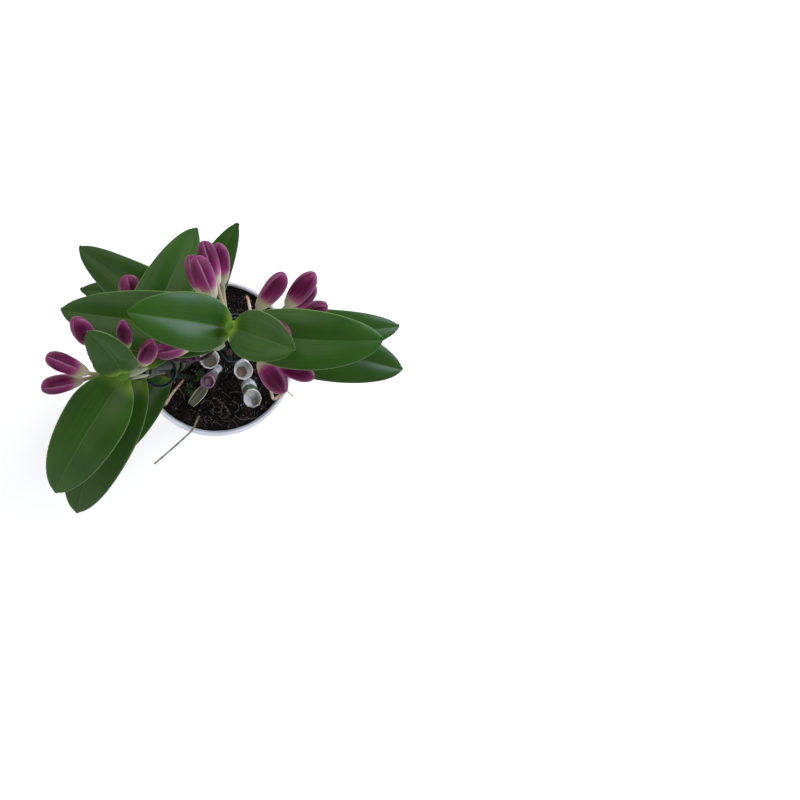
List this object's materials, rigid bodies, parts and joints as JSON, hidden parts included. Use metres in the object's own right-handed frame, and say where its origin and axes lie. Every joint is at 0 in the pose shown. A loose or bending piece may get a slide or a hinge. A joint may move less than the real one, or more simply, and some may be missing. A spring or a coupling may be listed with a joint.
{
  "type": "potted dendrobium orchid",
  "caption": "Dendrobium orchid in a plain tapered pot of bark mix: leafy jointed canes, staked and clipped, with clusters of closed magenta buds. Stands on the pot's flat base.",
  "frame": {"origin": "centre of the pot's flat underside", "axes": "+Z up along the pot's axis; seen from straight above, +X points right and +Y points up, with the longer leaves of the front cane towards -X and -Y"},
  "size_m": [0.2293, 0.1907, 0.4516],
  "materials": {
    "pot_plastic": "satin",
    "bark_mix": "matte",
    "cane_skin": "satin",
    "papery_sheath": "matte",
    "leaf_blade": "satin",
    "bud_skin": "satin",
    "stake_wood": "satin",
    "clip_plastic": "gloss",
    "dry_root": "matte"
  },
  "bodies": {
    "root": {"pot": "pot_plastic", "potting_mix": "bark_mix", "cane_a": "cane_skin", "cane_b": "cane_skin", "leaf_a1": "leaf_blade", "leaf_a2": "leaf_blade", "leaf_a3": "leaf_blade", "leaf_a4": "leaf_blade", "leaf_a5": "leaf_blade", "leaf_a6": "leaf_blade", "leaf_a7": "leaf_blade", "leaf_a8": "leaf_blade", "leaf_b1": "leaf_blade", "leaf_b2": "leaf_blade", "leaf_b3": "leaf_blade", "leaf_b4": "leaf_blade", "leaf_b5": "leaf_blade", "leaf_b6": "leaf_blade", "buds_a1": "bud_skin", "buds_a2": "bud_skin", "buds_a3": "bud_skin", "buds_a4": "bud_skin", "buds_a5": "bud_skin", "buds_a6": "bud_skin", "buds_a7": "bud_skin", "buds_a8": "bud_skin", "buds_b1": "bud_skin", "buds_b2": "bud_skin", "buds_b3": "bud_skin", "buds_b4": "bud_skin", "old_cane_1": "papery_sheath", "old_cane_2": "papery_sheath", "old_cane_3": "papery_sheath", "old_cane_4": "papery_sheath", "dry_husk": "papery_sheath", "stake_a": "stake_wood", "stake_b": "stake_wood", "clip_a1": "clip_plastic", "clip_a2": "clip_plastic", "clip_b1": "clip_plastic", "root_1": "dry_root", "root_2": "dry_root", "root_3": "dry_root", "root_4": "dry_root", "root_5": "dry_root"}
  },
  "joints": []
}
